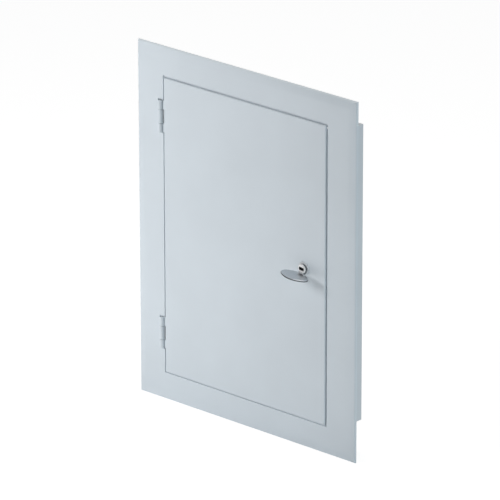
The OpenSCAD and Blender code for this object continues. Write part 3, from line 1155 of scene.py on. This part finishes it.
    def oval(self, shape: bmesh.types.BMesh, middle: Vector) -> None:
        """Draws the wing's outline from four arcs and fills it.

        Args:
            shape: Mesh that gets the oval.
            middle: Middle of the oval.
        """
        half = self.wing_width / 2
        end_x = self.wing_length / 2 - self.wing_end
        flank = (end_x ** 2 + half ** 2 - self.wing_end ** 2) / (2 * (half - self.wing_end))
        lean = math.asin(end_x / (flank - self.wing_end))
        start = Vector((-math.sin(lean) * flank, flank - half - math.cos(lean) * flank, 0))
        point = shape.verts.new(middle + start)
        long_turn, end_turn = 2 * lean, math.pi - 2 * lean
        for x, y, angle in ((0, flank - half, long_turn), (end_x, 0, end_turn),
                            (0, half - flank, long_turn), (-end_x, 0, end_turn)):
            arc = bmesh.ops.spin(shape, geom=[point], cent=middle + Vector((x, y, 0)), axis=Axis.Z.value,
                                 angle=angle, steps=self.arc_steps)
            point = next(g for g in arc["geom_last"] if isinstance(g, bmesh.types.BMVert))
        bmesh.ops.remove_doubles(shape, verts=shape.verts, dist=MERGE)
        bmesh.ops.edgenet_fill(shape, edges=shape.edges)

    def knob_wing(self) -> bpy.types.Object:
        """Makes the flat oval wing with the neck that joins it to the boss.

        Returns:
            The wing's object.
        """
        front, rear, _ = self.levels()
        middle = Vector((0, front - self.wing_lead - self.wing_width / 2, -self.wing_drop))
        shape = bmesh.new()
        self.oval(shape, middle)
        for side in (-1, 1):
            slice_at(shape, Axis.X, side * self.neck / 2)
        root = [e for e in shape.edges if e.is_boundary
                and all(abs(v.co.x) < self.neck / 2 + TOUCH and v.co.y > middle.y for v in e.verts)]
        corners = {tuple(v.co) for e in root for v in e.verts if abs(v.co.x) > self.neck / 2 - TOUCH}
        pull(shape, root, lambda p: Vector((p.x, rear, p.z)))
        round_corners(shape, self.neck_fillet, lambda p: any((p - Vector(c)).length < TOUCH for c in corners))
        bmesh.ops.dissolve_limit(shape, angle_limit=FLAT, verts=shape.verts, edges=shape.edges)
        bmesh.ops.remove_doubles(shape, verts=shape.verts, dist=self.short_edge)
        bmesh.ops.solidify(shape, geom=list(shape.faces), thickness=self.wing_sheet)
        lift = middle.z - max(v.co.z for v in shape.verts)
        bmesh.ops.translate(shape, vec=(0, 0, lift), verts=shape.verts)
        bmesh.ops.recalc_face_normals(shape, faces=shape.faces)
        rim = [e for e in shape.edges if all(abs(v.co.z - middle.z) < TOUCH for v in e.verts)
               and any(abs(f.normal.z) < self.edge_lean for f in e.link_faces)]
        round_edges(shape, rim, self.wing_round, self.wing_steps)
        bmesh.ops.recalc_face_normals(shape, faces=shape.faces)
        # Rim faces of the wing take the painted shade and dark reflection; its flat faces keep the chrome.
        for face in shape.faces:
            face.material_index = int(abs(face.normal.z) < self.edge_lean)
        self.settle(shape)
        wing = set_piece("turn_knob_wing", shape, Body.LATCH, CHROME, ["turn_knob"],
                         edge_round=self.edge_round)
        wing.data.materials.append(coat_of(PAINTED_DARK_REFLECTION))
        return wing


def direction(azimuth: float, elevation: float) -> Vector:
    """Gives the unit vector towards an angle round the panel.

    Args:
        azimuth: Angle in degrees, 0 in front and positive to the right.
        elevation: Height above the horizon in degrees.

    Returns:
        The vector from the panel's middle.
    """
    turn, rise = math.radians(azimuth), math.radians(elevation)
    return Vector((math.sin(turn) * math.cos(rise), -math.cos(turn) * math.cos(rise), math.sin(rise)))


@dataclass(frozen=True)
class Lamp:
    """Round soft lamp that points at the panel's middle: degrees, metres and watts."""

    name: str
    azimuth: float
    elevation: float
    distance: float
    width: float
    power: float
    tint: tuple[float, float, float]
    mirrored: bool = True

    def hang(self) -> None:
        """Puts the lamp into the scene."""
        data = bpy.data.lights.new(self.name, "AREA")
        data.shape = "DISK"
        data.size = self.width
        data.energy = self.power
        data.color = self.tint
        back = direction(self.azimuth, self.elevation)
        lamp = put_in_scene(self.name, data)
        lamp.location = back * self.distance
        lamp.rotation_euler = (-back).to_track_quat("-Z", "Y").to_euler()
        lamp.visible_glossy = self.mirrored


@dataclass(frozen=True)
class DarkCard:
    """Dark card beside the set that only reflections see: place and size in metres, turn in degrees."""

    name: str
    place: tuple[float, float, float]
    turn: tuple[float, float]
    size: tuple[float, float]
    tone: float = 0.05

    def stand(self) -> bpy.types.Object:
        """Sets the card up and hides it from all but reflections.

        Returns:
            The card's object.
        """
        tilt, swing = (math.radians(angle) for angle in self.turn)
        turn = Matrix.Rotation(swing, 4, "Z") @ Matrix.Rotation(tilt, 4, "X")
        spot = Matrix.Translation(self.place) @ turn @ Matrix.Diagonal((*self.size, 1, 1))
        shape = bmesh.new()
        bmesh.ops.create_grid(shape, x_segments=1, y_segments=1, size=0.5, matrix=spot)
        mesh = mesh_of(self.name, shape)
        card = put_in_scene(self.name, mesh)
        sheet = ShaderSheet(self.name)
        sheet.set(Base_Color=(self.tone, self.tone, self.tone, 1), Roughness=1.0, Specular_IOR_Level=0.0)
        mesh.materials.append(sheet.material)
        card.visible_camera = False
        card.visible_diffuse = False
        card.visible_shadow = False
        return card


@dataclass
class Studio:
    """Pale floor, white surroundings and soft lamps."""

    floor_half: float = 6.0
    bounce_tone: float = 0.95
    shadow_tone: float = 0.25
    glow: float = 0.92
    sky_share: float = 0.105
    sky_tint: tuple[float, float, float] = (0.93, 1.0, 1.06)
    key: Lamp = Lamp("key", -36, 26, 1.05, 0.4, 4.85, (1.03, 1, 0.99), mirrored=False)
    low_fill: Lamp = Lamp("low_fill", -40, -13, 0.66, 0.6, 2.0, (1.0, 1, 1), mirrored=False)
    side_fill: Lamp = Lamp("side_fill", 90, 0, 1.2, 0.1, 4.0, (0.9, 1, 1.04))
    top_light: Lamp = Lamp("top_light", 180, 84, 1.2, 0.25, 4.4, (1.04, 1, 0.95))
    table_edge: DarkCard = DarkCard("table_edge", (-1.296, -0.819, -0.179), (0, 24), (2, 2), 0.3)
    left_card: DarkCard = DarkCard("left_card", (-1.7, -1.7, 1.4), (90, -45), (3.6, 3), 0.12)
    right_card: DarkCard = DarkCard("right_card", (1.9, -0.6, 0.95), (90, 72), (2.2, 1.7))

    def build(self) -> None:
        """Sets the colour transform, the world, the floor, the lamps and the cards."""
        bpy.context.scene.view_settings.view_transform = "Standard"
        self.surroundings()
        self.floor()
        for lamp in (self.key, self.low_fill, self.side_fill, self.top_light):
            lamp.hang()
        for card in (self.table_edge, self.left_card, self.right_card):
            card.stand()

    def seen(self, tree: bpy.types.NodeTree) -> bpy.types.NodeSocket:
        """Gives 1 on rays from the camera, from mirrors and through glass, and 0 on others.

        Args:
            tree: Node tree that gets the nodes.

        Returns:
            The socket with the flag.
        """
        path = tree.nodes.new("ShaderNodeLightPath")
        flag = path.outputs["Is Camera Ray"]
        for name in ("Is Glossy Ray", "Is Transmission Ray"):
            most = tree.nodes.new("ShaderNodeMath")
            most.operation = "MAXIMUM"
            tree.links.new(flag, most.inputs[0])
            tree.links.new(path.outputs[name], most.inputs[1])
            flag = most.outputs["Value"]
        return flag

    def surroundings(self) -> None:
        """Lights the room evenly, and shows it white to the camera and in mirrors."""
        world = bpy.data.worlds.new("studio")
        world.use_nodes = True
        bpy.context.scene.world = world
        tree = world.node_tree
        flag = self.seen(tree)
        background = tree.nodes["Background"]
        tint = tree.nodes.new("ShaderNodeMix")
        tint.data_type = "RGBA"
        tint.inputs["A"].default_value = (*self.sky_tint, 1)
        tint.inputs["B"].default_value = (1, 1, 1, 1)
        tree.links.new(flag, tint.inputs["Factor"])
        tree.links.new(tint.outputs["Result"], background.inputs["Color"])
        tree.links.new(spread(tree, flag, self.sky_share, 1.0), background.inputs["Strength"])

    def floor(self) -> bpy.types.Object:
        """Lays the floor under the panel's lower edge.

        Returns:
            The floor's object.
        """
        level = CAD_BOX[0].z
        shape = bmesh.new()
        bmesh.ops.create_grid(shape, x_segments=1, y_segments=1, size=self.floor_half,
                              matrix=Matrix.Translation((0, 0, level)))
        mesh = mesh_of("floor", shape)
        floor = put_in_scene("floor", mesh)
        mesh.materials.append(self.floor_finish())
        return floor

    def floor_finish(self) -> bpy.types.Material:
        """Makes a matt floor that glows to white for the camera and still takes the shadow.

        Returns:
            The material.
        """
        sheet = ShaderSheet("studio_floor")
        sheet.set(Roughness=1.0, Specular_IOR_Level=0.0, Emission_Color=(1, 1, 1, 1))
        flag = self.seen(sheet.tree)
        for socket, unseen, seen in (("Emission Strength", 0.0, self.glow),
                                     ("Base Color", self.bounce_tone, self.shadow_tone)):
            sheet.join(spread(sheet.tree, flag, unseen, seen), sheet.shader.inputs[socket])
        return sheet.material


@dataclass
class PhotoCamera:
    """Camera at the photograph's viewing angle."""

    azimuth: float = 41.003
    elevation: float = 21.559
    roll: float = math.radians(-0.082)
    distance: float = 5.0860
    lens: float = 389.58
    sensor: float = 36.0
    target: tuple[float, float, float] = (0.003212, 0.0, 0.000670)

    def build(self) -> None:
        """Places the camera and makes it the scene's."""
        data = bpy.data.cameras.new("photo_camera")
        data.sensor_fit = "HORIZONTAL"
        data.sensor_width = self.sensor
        data.lens = self.lens
        back = direction(self.azimuth, self.elevation)
        turn = (-back).to_track_quat("-Z", "Y").to_matrix() @ Matrix.Rotation(self.roll, 3, "Z")
        camera = put_in_scene("photo_camera", data)
        camera.location = Vector(self.target) + back * self.distance
        camera.rotation_euler = turn.to_euler()
        bpy.context.scene.camera = camera


def main() -> None:
    """Builds the scene and then the panel, piece by piece."""
    logging.basicConfig(level=logging.INFO, format="%(message)s")
    PhotoCamera().build()
    Studio().build()
    FaceFlange().build()
    DoorPan().build()
    Collar().build()
    Hinges().build()
    Keeper().build()
    WeldMarks().build()
    WingLatch().build()
    bpy.context.view_layer.update()


if __name__ == "__main__":
    main()
